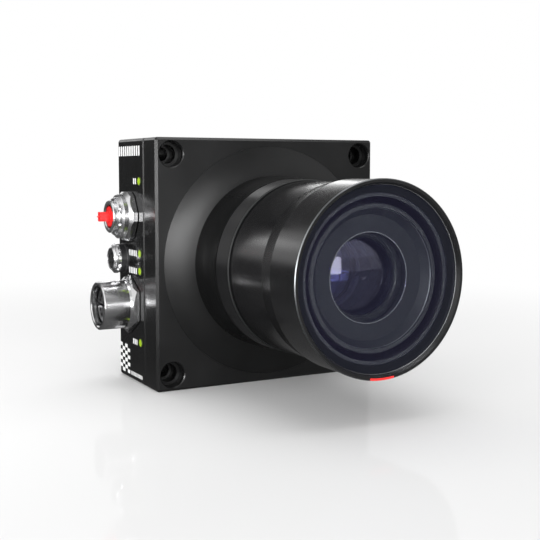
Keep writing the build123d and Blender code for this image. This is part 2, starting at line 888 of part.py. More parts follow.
def aperture_stop():
    plate = ring(sleeve_r - ring_gap, stop_opening_r, cell_seat - stop_thickness, cell_seat)
    return FRONT.location * plate


def tube_seal():
    return FRONT.location * ring(collar_tip_r - tube_seal_inset, collar_bore_r, collar_height, tube_seat)


def tube_base_ring():
    spigot_tip = tube_seat - spigot_length
    thread_r = spigot_r + thread_clearance
    body = turned(
        (sleeve_inner_r, spigot_tip), (spigot_r, spigot_tip), (spigot_r, tube_seat),
        (base_ring_r, tube_seat), (base_ring_r, base_ring_end - base_ring_chamfer),
        (base_ring_r - base_ring_chamfer, base_ring_end), (thread_r, base_ring_end),
        (thread_r, tube_tail), (sleeve_inner_r, tube_tail),
    )
    return FRONT.location * body


def lens_tube():
    neck_top = base_ring_end + groove_width
    seat_r = window_r + window_clearance
    lip_back = lip_front - glass_lip_thickness
    rim_start = rim_end - rim_length
    body = turned(
        (sleeve_inner_r, tube_tail), (spigot_r, tube_tail), (spigot_r, base_ring_end),
        (groove_r, base_ring_end), (groove_r, neck_top), (tube_r - tube_edge / 2, neck_top),
        (tube_r, neck_top + tube_edge), (tube_r, flare_start), (front_tube_r, flare_end),
        (front_tube_r, rim_start), (rim_r, rim_start + rim_step), (rim_r, rim_end - rim_edge_chamfer),
        (rim_r - rim_edge_chamfer, rim_end), (seat_r + rim_bevel, rim_end), (seat_r, window_face),
        (seat_r, lip_front), (glass_lip_r, lip_front), (glass_lip_r, lip_back),
        (front_bore_r, lip_back - (front_bore_r - glass_lip_r)), (front_bore_r, flare_end),
        (sleeve_inner_r, flare_start),
    )
    return FRONT.location * body


def window_gasket():
    return FRONT.location * ring(window_r, window_r - window_gasket_width, lip_front, glass_back)


def window_glass():
    return FRONT.location * disc(window_r, glass_back, window_face)


def top_seal():
    sheet = ring(
        top_face_share * top_nut_flats / 2, top_shank_r + thread_clearance, 0, side_seal_thickness
    )
    return side_plane(top_socket_z).location * sheet


def top_nut():
    blank = hex_blank(
        top_nut_flats, side_seal_thickness, top_nut_end, top_face_share, top_nut_round_r, top_chamfer_angle
    )
    corner_cut = Pos(0, 0, side_seal_thickness) * extrude(
        RegularPolygon(top_nut_corner_r, 6, major_radius=False, rotation=top_corner_turn), top_nut_thickness
    )
    nut = (blank & corner_cut) - disc(top_shank_r + thread_clearance, 0, top_nut_end)
    return side_plane(top_socket_z).location * nut


def top_socket():
    floor = top_ring_end - top_bore_depth
    edge = socket_edge
    body = turned(
        (0, -top_shank_length), (top_shank_r, -top_shank_length), (top_shank_r, top_nut_end),
        (top_flange_r, top_nut_end), (top_flange_r, top_flange_end - edge),
        (top_flange_r - edge, top_flange_end), (top_barrel_r, top_flange_end),
        (top_barrel_r, top_barrel_end - edge), (top_barrel_r - edge, top_barrel_end),
        (top_neck_r, top_barrel_end), (top_neck_r, top_neck_end), (top_ring_r, top_neck_end),
        (top_ring_r, top_ring_end - edge), (top_ring_r - edge, top_ring_end),
        (top_bore_r + edge, top_ring_end), (top_bore_r, top_ring_end - edge), (top_bore_r, floor),
        (0, floor),
    )
    notch = block(
        2 * top_notch_depth, top_notch_width, top_barrel_end - top_notch_rise, top_neck_end, top_barrel_r
    )
    pitch = 360 / top_notch_count
    body -= [Rot(0, 0, pitch * (i + 0.5)) * notch for i in range(top_notch_count)]
    return side_plane(top_socket_z).location * body


def dust_plug():
    tab = block(plug_tab_thickness, plug_tab_height, plug_seat, plug_tab_end)
    tab = fillet(tab.edges().filter_by(Axis.Z), plug_edge)
    nib = turned(
        (0, plug_tab_end - plug_nib_root), (plug_nib_r, plug_tab_end - plug_nib_root),
        (plug_nib_r, plug_tab_end), (0, plug_tab_end + plug_nib_length),
    )
    tip = plug_seat - plug_stem_length
    rib_high = plug_seat - plug_rib_depth
    rib_low = rib_high - plug_rib_width
    head = turned(
        (0, tip), (plug_r - plug_edge, tip), (plug_r, tip + plug_edge), (plug_r, rib_low - plug_rib_slope),
        (plug_rib_r, rib_low), (plug_rib_r, rib_high), (plug_r, plug_seat), (0, plug_seat),
    )
    return side_plane(top_socket_z).location * (head + tab + nib)


def mid_collar():
    inner = mid_shank_r + seat_clearance
    body = turned(
        (inner, 0), (mid_flange_r, 0), (mid_flange_r, mid_flange_height - mid_flange_edge),
        (mid_flange_r - mid_flange_edge, mid_flange_height), (mid_collar_r, mid_flange_height),
        (mid_collar_r, mid_collar_end), (inner, mid_collar_end),
    )
    return side_plane(mid_socket_z, mid_socket_depth).location * body


def mid_socket():
    body = turned(
        (mid_bore_r, -mid_shank_length), (mid_shank_r, -mid_shank_length), (mid_shank_r, mid_collar_end),
        (mid_ring_r - mid_ring_edge, mid_collar_end), (mid_ring_r, mid_ring_start),
        (mid_ring_r, mid_ring_end), (mid_bevel_r, mid_bevel_end), (mid_groove_r, mid_bevel_end),
        (mid_groove_r, mid_groove_end), (mid_cone_r, mid_groove_end), (mid_tip_r, mid_end),
        (mid_bore_r + mid_mouth_chamfer, mid_end), (mid_bore_r, mid_end - mid_mouth_chamfer),
    )
    notch = block(
        2 * mid_notch_depth, mid_notch_width, mid_ring_end - mid_ring_edge, mid_bevel_end, mid_ring_r
    )
    pitch = 360 / mid_notch_count
    body -= [Rot(0, 0, pitch * i + mid_notch_start) * notch for i in range(mid_notch_count)]
    return side_plane(mid_socket_z, mid_socket_depth).location * body


def mid_pin_points():
    return polar_points(mid_pin_circle_r, mid_pin_count, mid_pin_start)


def mid_insert():
    body = disc(mid_bore_r - seat_clearance, -mid_shank_length, mid_face)
    body -= at(mid_pin_points(), disc(mid_pin_r + seat_clearance, mid_face - mid_pin_depth, mid_face))
    body -= block(mid_key_width, mid_key_height, mid_face - mid_key_depth, mid_face, 0, -mid_bore_r)
    return side_plane(mid_socket_z, mid_socket_depth).location * body


def mid_contacts():
    tube = ring(mid_pin_r, mid_pin_r - mid_pin_wall, mid_face - mid_pin_depth, mid_face - contact_recess)
    return group(side_plane(mid_socket_z, mid_socket_depth), at(mid_pin_points(), tube))


def low_seal():
    sheet = ring(low_seal_r, low_shank_r + thread_clearance, 0, side_seal_thickness)
    return side_plane(low_socket_z, low_socket_depth).location * sheet


def low_socket():
    body = hex_blank(
        low_flats, side_seal_thickness, low_hex_end, low_face_share, low_hex_round_r, low_chamfer_angle,
        turn=low_hex_turn,
    )
    edge = socket_edge
    sleeve_start = low_hex_end - low_sleeve_root
    body += turned(
        (0, -low_shank_length), (low_shank_r, -low_shank_length), (low_shank_r, sleeve_start),
        (low_face_share * low_flats / 2, sleeve_start), (low_face_share * low_flats / 2, low_hex_end),
        (low_sleeve_r, low_hex_end + low_root_height), (low_sleeve_r, low_end - edge),
        (low_sleeve_r - edge, low_end), (0, low_end),
    )
    body -= turned(
        (0, low_bore_floor), (low_bore_r, low_bore_floor), (low_bore_r, low_end - edge),
        (low_bore_r + edge, low_end), (0, low_end),
    )
    body -= disc(low_shank_bore_r, -low_shank_length, low_bore_floor)
    return side_plane(low_socket_z, low_socket_depth).location * body


def low_contact_points():
    """Eight contacts, a pair in each quadrant of the cross."""
    points = []
    for quadrant in range(low_quadrant_count):
        for spread in (-low_contact_spread, low_contact_spread):
            angle = math.radians(360 / low_quadrant_count * (quadrant + 0.5) + spread)
            points.append((low_contact_circle_r * math.cos(angle), low_contact_circle_r * math.sin(angle)))
    return points


def low_insert():
    """A round base that carries four rounded quadrants, split by the cross slot."""
    body = disc(low_shank_bore_r - seat_clearance, -low_shank_length, low_bore_floor)
    outline = Circle(low_insert_r)
    outline -= Rectangle(2 * low_insert_r, low_slot_width)
    outline -= Rectangle(low_slot_width, 2 * low_insert_r)
    outline = fillet(outline.vertices(), low_insert_round)
    quadrants = extrude(outline, low_face - low_bore_floor)
    rims = quadrants.edges().group_by(Axis.Z)[-1]
    body += Pos(0, 0, low_bore_floor) * chamfer(rims, low_insert_edge)
    body -= at(low_contact_points(), disc(low_contact_r + seat_clearance, low_bore_floor, low_face))
    return side_plane(low_socket_z, low_socket_depth).location * body


def low_shield():
    length = 2 * low_insert_r
    high = low_face - low_shield_recess
    cross = block(length, low_shield_thickness, low_bore_floor, high)
    cross += block(low_shield_thickness, length, low_bore_floor, high)
    return side_plane(low_socket_z, low_socket_depth).location * cross


def low_contacts():
    tube = ring(
        low_contact_r, low_contact_r - low_contact_wall, low_bore_floor, low_face - contact_recess
    )
    return group(side_plane(low_socket_z, low_socket_depth), at(low_contact_points(), tube))


def light_pipe(height):
    inner = led_height + led_gap - socket_board_gap
    body = turned(
        (0, inner), (pipe_r, inner), (pipe_r, pipe_proud), (pipe_r - pipe_dome, pipe_proud + pipe_dome),
        (0, pipe_proud + pipe_dome),
    )
    return side_plane(height).location * Pos(pipe_offset, 0, 0) * body


def sensor_board_holes():
    place = sensor_board_side / 2 - sensor_hole_inset
    return corner_points(place, place)


def main_board_holes():
    half_width = main_board_width / 2 - main_hole_inset
    half_height = main_board_height / 2 - main_hole_inset
    return [(main_board_x + x, y) for x, y in corner_points(half_width, half_height)]


def board_screw():
    return socket_screw(board_screw_r, board_screw_length, board_screw_head_r, board_screw_head_height)


def sensor_board():
    outline = RectangleRounded(sensor_board_side, sensor_board_side, sensor_board_corner)
    board = Pos(0, 0, sensor_board_back) * extrude(outline, board_thickness)
    hole = disc(board_screw_r + thread_clearance, sensor_board_back, sensor_board_face)
    board -= at(sensor_board_holes(), hole)
    return FRONT.location * board


def sensor_spacers():
    post = ring(board_spacer_r, board_screw_r + thread_clearance, sensor_board_face, -front_wall)
    return group(FRONT, at(sensor_board_holes(), post))


def sensor_screws():
    seat = Plane(origin=(0, 0, sensor_board_back), x_dir=(1, 0, 0), z_dir=(0, 0, -1))
    return group(FRONT, at(sensor_board_holes(), seat.location * board_screw()))


def image_sensor():
    width, height, depth = sensor_package
    pocket_width, pocket_height, pocket_depth = sensor_pocket
    top = sensor_board_face + depth
    body = block(width, height, sensor_board_face, top)
    body -= block(pocket_width, pocket_height, top - pocket_depth, top)
    return FRONT.location * body


def sensor_glass():
    width, height, depth = sensor_package
    low = sensor_board_face + depth
    plate = block(
        width - 2 * sensor_cover_gap, height - 2 * sensor_cover_gap, low, low + sensor_glass_thickness
    )
    return FRONT.location * plate


def main_board():
    board = block(main_board_width, main_board_height, main_board_back, main_board_face, main_board_x)
    hole = disc(board_screw_r + thread_clearance, main_board_back, main_board_face)
    board -= at(main_board_holes(), hole)
    return FRONT.location * board


def main_board_screws():
    seated = Pos(0, 0, main_board_face) * board_screw()
    return group(FRONT, at(main_board_holes(), seated))


def processor():
    low = main_board_back - processor_height
    return FRONT.location * block(processor_side, processor_side, low, main_board_back, main_board_x)


def thermal_pad():
    high = main_board_back - processor_height
    return FRONT.location * block(pad_side, pad_side, back_wall - housing_depth, high, main_board_x)


def memory_chips():
    width, height, depth = memory_size
    chip = block(width, height, main_board_face, main_board_face + depth)
    places = [(main_board_x + side * memory_spacing / 2, 0) for side in (-1, 1)]
    return group(FRONT, at(places, chip))


def board_link():
    """Board-to-board connector between the main board and the sensor board."""
    width, height = link_size
    return FRONT.location * block(width, height, main_board_face, sensor_board_back, 0, link_z)


def socket_board_plane():
    """Plane of the socket board's outer face, its local Z outward."""
    return side_plane(0).location * Pos(0, 0, -socket_board_gap)


def socket_board():
    width = socket_board_front - socket_board_rear
    centre = (socket_board_front + socket_board_rear) / 2
    return socket_board_plane() * block(width, socket_board_height, -board_thickness, 0, centre)


def board_header():
    """Right-angle connector from the main board's edge to the socket board."""
    right = main_board_left + header_overlap
    body = block(
        right - socket_board_inside, header_width, main_board_face, main_board_face + header_height,
        (socket_board_inside + right) / 2,
    )
    return FRONT.location * body


def socket_posts():
    """Four posts that carry the socket board off the side wall, between the sockets."""
    post = disc(socket_post_r, 0, socket_board_gap - wall)
    columns = (pipe_offset / 2, socket_board_rear + socket_post_inset)
    heights = (
        (mid_socket_z + mid_shank_r + top_socket_z - top_shank_r) / 2,
        (mid_socket_z - mid_shank_r + low_socket_z + low_shank_r) / 2,
    )
    places = [Pos(x, z, 0) for x in columns for z in heights]
    return Compound(children=[socket_board_plane() * place * post for place in places])


def status_leds():
    lamp = block(led_side, led_side, 0, led_height)
    return Compound(children=[socket_board_plane() * Pos(pipe_offset, z, 0) * lamp for z in pipe_heights])


nodes = {
    "front_housing": front_housing,
    "tube_flange": tube_flange,
    "flange_screws": flange_screws,
    "housing_gasket": housing_gasket,
    "rear_housing": rear_housing,
    "case_screws": case_screws,
    "lens_mount_ring": lens_mount_ring,
    "mount_ring_screws": mount_ring_screws,
    "lens_base": lens_base,
    "rear_element": rear_element,
    "rear_retainer": rear_retainer,
    "focus_ring": focus_ring,
    "focus_lock_screw": focus_lock_screw,
    "lens_barrel": lens_barrel,
    "lens_cell": lens_cell,
    "front_bezel": front_bezel,
    "front_element": front_element,
    "front_retainer": front_retainer,
    "middle_element": middle_element,
    "middle_retainer": middle_retainer,
    "aperture_stop": aperture_stop,
    "tube_seal": tube_seal,
    "tube_base_ring": tube_base_ring,
    "lens_tube": lens_tube,
    "window_gasket": window_gasket,
    "window_glass": window_glass,
    "top_seal": top_seal,
    "top_nut": top_nut,
    "top_socket": top_socket,
    "dust_plug": dust_plug,
    "mid_collar": mid_collar,
    "mid_socket": mid_socket,
    "mid_insert": mid_insert,
    "mid_contacts": mid_contacts,
    "low_seal": low_seal,
    "low_socket": low_socket,
    "low_insert": low_insert,
    "low_shield": low_shield,
    "low_contacts": low_contacts,
    "sensor_board": sensor_board,
    "sensor_spacers": sensor_spacers,
    "sensor_screws": sensor_screws,
    "image_sensor": image_sensor,
    "sensor_glass": sensor_glass,
    "main_board": main_board,
    "main_board_screws": main_board_screws,
    "processor": processor,
    "thermal_pad": thermal_pad,
    "memory_chips": memory_chips,
    "board_link": board_link,
    "socket_board": socket_board,
    "board_header": board_header,
    "socket_posts": socket_posts,
    "status_leds": status_leds,
}
for number, pipe_height in enumerate(pipe_heights, start=1):
    nodes[f"light_pipe_{number}"] = lambda height=pipe_height: light_pipe(height)

os.makedirs("parts", exist_ok=True)
for name, make in nodes.items():
    export_step(make(), f"parts/{name}.step")
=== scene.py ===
import math

import bmesh
import bpy
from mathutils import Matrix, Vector


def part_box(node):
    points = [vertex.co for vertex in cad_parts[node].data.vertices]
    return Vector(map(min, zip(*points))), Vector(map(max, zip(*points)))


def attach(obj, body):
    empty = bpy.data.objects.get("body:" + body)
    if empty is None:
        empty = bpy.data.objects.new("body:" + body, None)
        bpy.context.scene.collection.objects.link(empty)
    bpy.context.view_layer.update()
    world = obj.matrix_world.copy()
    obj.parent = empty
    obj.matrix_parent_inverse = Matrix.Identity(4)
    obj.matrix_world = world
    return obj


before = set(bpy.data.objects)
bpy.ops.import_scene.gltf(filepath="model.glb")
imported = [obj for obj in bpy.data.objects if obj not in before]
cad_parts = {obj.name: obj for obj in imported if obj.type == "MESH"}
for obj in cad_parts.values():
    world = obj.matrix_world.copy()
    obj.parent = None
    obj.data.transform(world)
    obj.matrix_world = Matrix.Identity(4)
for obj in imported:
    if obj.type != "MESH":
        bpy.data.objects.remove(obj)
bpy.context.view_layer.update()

MM = 0.001
scene = bpy.context.scene

# Camera: the photograph's viewpoint, fitted to the housing's edges and the tube's circles
YAW, PITCH = math.radians(28.2685), math.radians(4.3125)
VIEW_DISTANCE = 318.604 * MM
TARGET = Vector((0.0397, -34.5, 5.799)) * MM
FOCAL_LENGTH = 64.457
SENSOR_WIDTH = 36.0
SHIFT_Y = -0.05
NEAR_CLIP, FAR_CLIP = 0.01, 50.0

# The floor as it is seen: its tint, how much that is lowered in spots and, as painted shade, toward the
# camera, and its gloss
FLOOR_HEIGHT = -40.0 * MM
FLOOR_RADIUS = 4.0
FLOOR_TINT = 0.80
FLOOR_SPOTS = 0.985
FLOOR_NEAR_PAINTED_SHADE = 0.88
FLOOR_GLOSS = 0.05
FLOOR_GLOSS_ROUGH = 0.06

# ROOM_LEVEL is the room that lights the part. The others are floor and room in mirror rays, where
# MIRRORED_DARK is the darkest. Left and right are as the camera sees them, ahead is toward the camera.
ROOM_LEVEL = 0.66
MIRRORED_DARK = 0.07
FLOOR_RIGHT_LEVEL = 0.30
FLOOR_AHEAD_LEVELS = (0.12, 0.25)
FLOOR_FAR_LEFT_LEVEL = 0.90
ROOM_FRONT_LEVEL = 0.23
ROOM_LEFT_LEVEL = 0.75
ROOM_RIGHT_LEVEL = 0.45
ROOM_FRONT_RIGHT_LEVEL = 0.5
ROOM_CEILING_LEVEL = 0.3

# Softboxes: name, place, width and height in metres, watts. All of them face AIM.
AIM = (0.0, -0.05, 0.0)
SOFTBOXES = [
    ("overhead", (0.05, 0.05, 1.0), 0.9, 0.9, 4.7),
    ("front", (-0.14, -0.93, 0.08), 0.52, 0.30, 6.0),
    ("edge_strip", (-0.46, -0.29, 0.03), 0.10, 0.13, 1.2),
    ("left_panel", (-0.58, -0.50, 0.24), 0.60, 0.56, 1.7),
    ("back_right", (0.40, 0.86, 0.28), 0.26, 0.22, 0.52),
    ("back_left", (-0.36, 0.85, 0.28), 0.20, 0.10, 0.12),
]

# Prints on the connector side, in millimetres. A row is start and end behind the front face, low and high,
# bar width and pitch. The last rows are a checker. PRINT_PROUD is how far the prints stand out.
PRINT_PROUD = 0.02
PRINT_CORNER = 0.18
CORNER_STEPS = 4
CHECKER_START, CHECKER_END, CHECKER_LOW = 24.5, 33.9, -38.4
CELL_LENGTH, CELL_HEIGHT, CELL_GAP = 2.4, 1.2, 0.02
PRINT_ROWS = [
    (13.8, 33.4, 34.4, 37.6, 1.30, 2.03),
    (17.3, 19.9, 25.2, 27.1, 1.00, 1.60),
    (17.3, 24.6, 1.6, 3.6, 1.00, 1.57),
    (17.3, 24.6, -4.2, -2.2, 1.00, 1.57),
    (17.4, 21.4, -27.6, -25.8, 1.00, 1.50),
    (13.2, 23.4, -38.4, -37.1, 0.75, 1.18),
]
PRINT_ROWS += [
    (CHECKER_START + CELL_LENGTH * (i % 2), CHECKER_END, CHECKER_LOW + CELL_HEIGHT * i,
     CHECKER_LOW + CELL_HEIGHT * (i + 1), CELL_LENGTH - CELL_GAP, 2 * CELL_LENGTH)
    for i in range(8)
]

# Finishes. Most of a noise lies within NOISE_RANGE. BAND_SOFT is the soft end of a band in millimetres.
WHITE = (1.0, 1.0, 1.0)
NOISE_RANGE = (0.35, 0.65)
BAND_SOFT = 0.04
METAL = {"Metallic": 1.0}
DULL = {"Specular IOR Level": 0.22}
HOUSING_SHINE = 0.35
LINING = (0.0045, 0.0055, 0.0055)
# Pale bare metal painted in thin bands along edges as a painted highlight. The bands still mirror the lamps.
EDGE_HIGHLIGHT_PAINT = (0.50, 0.51, 0.52)
# A dimmer pale metal painted in thin bands along edges as a painted highlight. The bands still mirror the
# lamps.
DIM_EDGE_HIGHLIGHT_PAINT = (0.15, 0.155, 0.16)
DARK = (0.0036, 0.0037, 0.0038)
DARK_WORN = (0.0066, 0.0067, 0.0069)
MARK_RED = (0.85, 0.022, 0.020)
PIPE_RIM = (0.03, 0.05, 0.006)
LENS_TINT = (0.74, 0.76, 0.95)
LENS_AXIS = ("y", (0.0, 0.0, 0.0))
SOCKET_GLOSS = {
    "top_socket": (0.24, 0.30),
    "top_nut": (0.20, 0.26),
    "mid_socket": (0.22, 0.28),
    "low_socket": (0.16, 0.22),
}


def make_camera():
    forward = Vector((math.sin(YAW) * math.cos(PITCH), math.cos(YAW) * math.cos(PITCH), -math.sin(PITCH)))
    data = bpy.data.cameras.new("photo_camera")
    data.sensor_width, data.lens, data.shift_y = SENSOR_WIDTH, FOCAL_LENGTH, SHIFT_Y
    data.clip_start, data.clip_end = NEAR_CLIP, FAR_CLIP
    camera = bpy.data.objects.new("photo_camera", data)
    scene.collection.objects.link(camera)
    camera.location = TARGET - forward * VIEW_DISTANCE
    camera.rotation_mode = "QUATERNION"
    camera.rotation_quaternion = forward.to_track_quat("-Z", "Y")
    scene.camera = camera


class Graph:
    """Adds nodes to one tree. An input is a number, a tuple or another node's socket."""

    def __init__(self, tree):
        self.tree = tree

    def add(self, kind, settings=None, **inputs):
        node = self.tree.nodes.new("ShaderNode" + kind)
        for name, value in (settings or {}).items():
            setattr(node, name, value)
        for name, value in inputs.items():
            self.put(node.inputs[name.replace("_", " ")], value)
        return node

    def put(self, socket, value):
        if isinstance(value, bpy.types.NodeSocket):
            self.tree.links.new(value, socket)
        elif hasattr(value, "__len__") and len(value) == 3 and socket.type == "RGBA":
            socket.default_value = (*value, 1.0)
        else:
            socket.default_value = value

    def maths(self, operation, a, b=0.0, c=0.0):
        node = self.tree.nodes.new("ShaderNodeMath")
        node.operation = operation
        for socket, value in zip(node.inputs, (a, b, c)):
            self.put(socket, value)
        return node.outputs[0]

    def vector_maths(self, operation, a, b=(0.0, 0.0, 0.0)):
        node = self.tree.nodes.new("ShaderNodeVectorMath")
        node.operation = operation
        self.put(node.inputs[0], a)
        self.put(node.inputs[1], b)
        return node.outputs["Value" if operation == "LENGTH" else "Vector"]

    def span(self, value, low, high, to_low=0.0, to_high=1.0, kind="LINEAR"):
        """The value carried over from low..high to to_low..to_high, and kept between them."""
        node = self.add("MapRange", {"interpolation_type": kind}, Value=value)
        for name, number in (("From Min", low), ("From Max", high), ("To Min", to_low), ("To Max", to_high)):
            self.put(node.inputs[name], number)
        return node.outputs[0]

    def ease(self, value, low, high, to_low=0.0, to_high=1.0):
        """As span, with a smooth start and end."""
        return self.span(value, low, high, to_low, to_high, "SMOOTHSTEP")

    def grey(self, level):
        return self.add("CombineXYZ", X=level, Y=level, Z=level).outputs[0]

    def within(self, value, low, high):
        """One between low and high, zero outside, with soft ends."""
        rise = self.span(value, low - BAND_SOFT, low + BAND_SOFT)
        return self.maths("MULTIPLY", rise, self.span(value, high + BAND_SOFT, high - BAND_SOFT))

    def mix(self, factor, a, b):
        node = self.add("Mix", {"data_type": "RGBA"})
        self.put(node.inputs["Factor"], factor)
        for socket, value in zip([s for s in node.inputs if s.type == "RGBA"], (a, b)):
            self.put(socket, value)
        return [s for s in node.outputs if s.type == "RGBA"][0]

    def blend(self, factor, a, b):
        """Shader b over shader a by the factor."""
        node = self.add("MixShader")
        for socket, value in zip(node.inputs, (factor, a, b)):
            self.put(socket, value)
        return node.outputs[0]

    def noise(self, where, scale, detail=3.0, roughness=0.6):
        return self.add("TexNoise", Vector=where, Scale=scale, Detail=detail,
                        Roughness=roughness).outputs["Fac"]

    def place(self, centre=(0.0, 0.0, 0.0)):
        """The point in millimetres, from the given centre."""
        point = self.add("TexCoord").outputs["Object"]
        scaled = self.add("Mapping", {"vector_type": "POINT"}, Vector=point,
                          Scale=(1 / MM, 1 / MM, 1 / MM))
        return self.vector_maths("SUBTRACT", scaled.outputs[0], tuple(centre))

    def around(self, axis, centre=(0.0, 0.0, 0.0)):
        """(distance along the axis, distance from it) of the point, in millimetres."""
        parts = self.add("SeparateXYZ", Vector=self.place(centre)).outputs
        along, other = (parts[0], parts[1]) if axis == "x" else (parts[1], parts[0])
        flat = self.add("CombineXYZ", X=other, Y=parts[2]).outputs[0]
        return along, self.vector_maths("LENGTH", flat)


def new_material(name):
    material = bpy.data.materials.new(name)
    material.use_nodes = True
    material.node_tree.nodes.clear()
    return material, Graph(material.node_tree)


def close_material(graph, shader):
    output = graph.add("OutputMaterial")
    graph.put(output.inputs["Surface"], shader)


def coated(name, low, high, grain, rough, patch=0.08, bump=0.15, depth=0.02, turned=None, line_scale=9.0,
           line_bump=0.25, fixed=None, bands=(), slope=None):
    """A surface with mottled colour, fine grain in its gloss and relief, and turning lines if it was turned.

    grain and patch are the noise scales per millimetre, depth is the relief's height in millimetres.
    turned is the axis and the centre of the turning, None for a plain surface.
    fixed are inputs of the shader that have one value all over.
    bands are zones of a turned surface with a finish of their own, some of them pale metal as painted
    highlights on edges: (radii, places along the axis, colour, roughness, metal), and for a mark or a painted
    highlight arc that doesn't go all round its left, right and top ends.
    slope is (radii, places, rise) of a zone that is shaded as if it tapered by that rise per millimetre.
    """
    material, g = new_material(name)
    where = g.place()
    fine = g.noise(where, grain)
    broad = g.noise(where, patch, roughness=0.55)
    worn = g.maths("MULTIPLY_ADD", fine, 0.45, g.maths("MULTIPLY", broad, 0.55))
    colour = g.mix(g.span(worn, *NOISE_RANGE), low, high)
    gloss = g.maths("MULTIPLY_ADD", fine, 0.6, g.maths("MULTIPLY", broad, 0.4))
    roughness = g.span(gloss, *NOISE_RANGE, *rough)
    normal = g.add("Bump", Strength=bump, Distance=depth * MM, Height=fine).outputs[0]
    if turned:
        axis, centre = turned
        along, radius = g.around(axis, centre)
        rings = g.add("CombineXYZ", X=g.maths("MULTIPLY", along, line_scale),
                      Y=g.maths("MULTIPLY", radius, line_scale)).outputs[0]
        lines = g.noise(rings, 1.0, detail=2.0)
        normal = g.add("Bump", Strength=line_bump, Distance=depth * MM, Height=lines,
                       Normal=normal).outputs[0]
        roughness = g.maths("MULTIPLY", roughness, g.span(lines, 0.3, 0.7, 0.8, 1.2))
    if slope:
        radii, places, rise = slope
        inside = g.maths("MULTIPLY", g.within(radius, *radii), g.within(along, *places))
        ramp = g.maths("MULTIPLY", inside, g.maths("MULTIPLY", along, rise))
        normal = g.add("Bump", Strength=1.0, Distance=MM, Height=ramp, Normal=normal).outputs[0]
    metal = (fixed or {}).get("Metallic", 0.0)
    for radii, places, band_colour, band_rough, band_metal, *ends in bands:
        inside = g.maths("MULTIPLY", g.within(radius, *radii), g.within(along, *places))
        if ends:
            left, right, top = ends[0]
            parts = g.add("SeparateXYZ", Vector=where).outputs
            below = g.maths("LESS_THAN", parts[2], top)
            inside = g.maths("MULTIPLY", inside, g.maths("MULTIPLY", below, g.within(parts[0], left, right)))
        colour = g.mix(inside, colour, tuple(band_colour))
        roughness = g.maths("MULTIPLY_ADD", inside, g.maths("SUBTRACT", band_rough, roughness), roughness)
        metal = g.maths("MULTIPLY_ADD", inside, g.maths("SUBTRACT", band_metal, metal), metal)
    shader = g.add("BsdfPrincipled", Base_Color=colour, Roughness=roughness, Metallic=metal,
                   Normal=normal)
    for socket, value in (fixed or {}).items():
        g.put(shader.inputs[socket], value)
    close_material(g, shader.outputs[0])
    return material


def housing(name, face_rough, side_rough):
    """Black coated metal: a fine matt grain on the front, top and bottom, smoother on the two sides."""
    material, g = new_material(name)
    where = g.place()
    fine = g.noise(where, 7.0)
    broad = g.noise(where, 0.06, roughness=0.55)
    worn = g.maths("MULTIPLY_ADD", fine, 0.5, g.maths("MULTIPLY", broad, 0.5))
    colour = g.mix(g.span(worn, *NOISE_RANGE), DARK, DARK_WORN)
    facing = g.add("SeparateXYZ", Vector=g.add("TexCoord").outputs["Normal"]).outputs
    not_side = g.maths("MAXIMUM", g.maths("ABSOLUTE", facing[1]), g.maths("ABSOLUTE", facing[2]))
    matt = g.span(not_side, 0.6, 0.9)
    side = g.span(worn, *NOISE_RANGE, *side_rough)
    face = g.span(worn, *NOISE_RANGE, *face_rough)
    roughness = g.maths("MULTIPLY_ADD", matt, g.maths("SUBTRACT", face, side), side)
    relief = g.maths("MULTIPLY", fine, g.span(matt, 0.0, 1.0, 0.15, 1.0))
    normal = g.add("Bump", Strength=0.2, Distance=0.03 * MM, Height=relief).outputs[0]
    shader = g.add("BsdfPrincipled", Base_Color=colour, Roughness=roughness, Normal=normal)
    shader.inputs["Specular IOR Level"].default_value = HOUSING_SHINE
    close_material(g, shader.outputs[0])
    return material


def glass(name, tint, ior, smear, shine):
    """Clear glass that lets lamp light through to what is behind it. smear is the most that it is rough."""
    material, g = new_material(name)
    spots = g.noise(g.place(), 0.25, detail=4.0)
    roughness = g.span(spots, 0.45, 0.75, 0.0, smear)
    colour = g.mix(g.span(spots, 0.3, 0.7), tint, tuple(0.97 * c for c in tint))
    shader = g.add("BsdfPrincipled", Base_Color=colour, Roughness=roughness)
    shader.inputs["Transmission Weight"].default_value = 1.0
    shader.inputs["IOR"].default_value = ior
    shader.inputs["Specular Tint"].default_value = (*shine, 1.0)
    clear = g.add("BsdfTransparent", Color=tint)
    shadow = g.add("LightPath").outputs["Is Shadow Ray"]
    close_material(g, g.blend(shadow, shader.outputs[0], clear.outputs[0]))
    return material


def middle(node):
    """The middle of the node's box, in millimetres."""
    low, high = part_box(node)
    return (low + high) / 2 / MM


def lining(name, brighter, grain, rough, bump, **more):
    """A dull dark surface inside the lens or the tube."""
    return coated(name, LINING, tuple(brighter * c for c in LINING), grain=grain, rough=rough, bump=bump,
                  fixed=DULL, **more)


def chrome(name, axis, rough=(0.16, 0.22)):
    return coated(name, (0.72, 0.72, 0.73), (0.84, 0.84, 0.85), grain=3.0, rough=rough, bump=0.012,
                  depth=0.01, turned=axis, line_scale=6.0, line_bump=0.04, fixed=METAL)


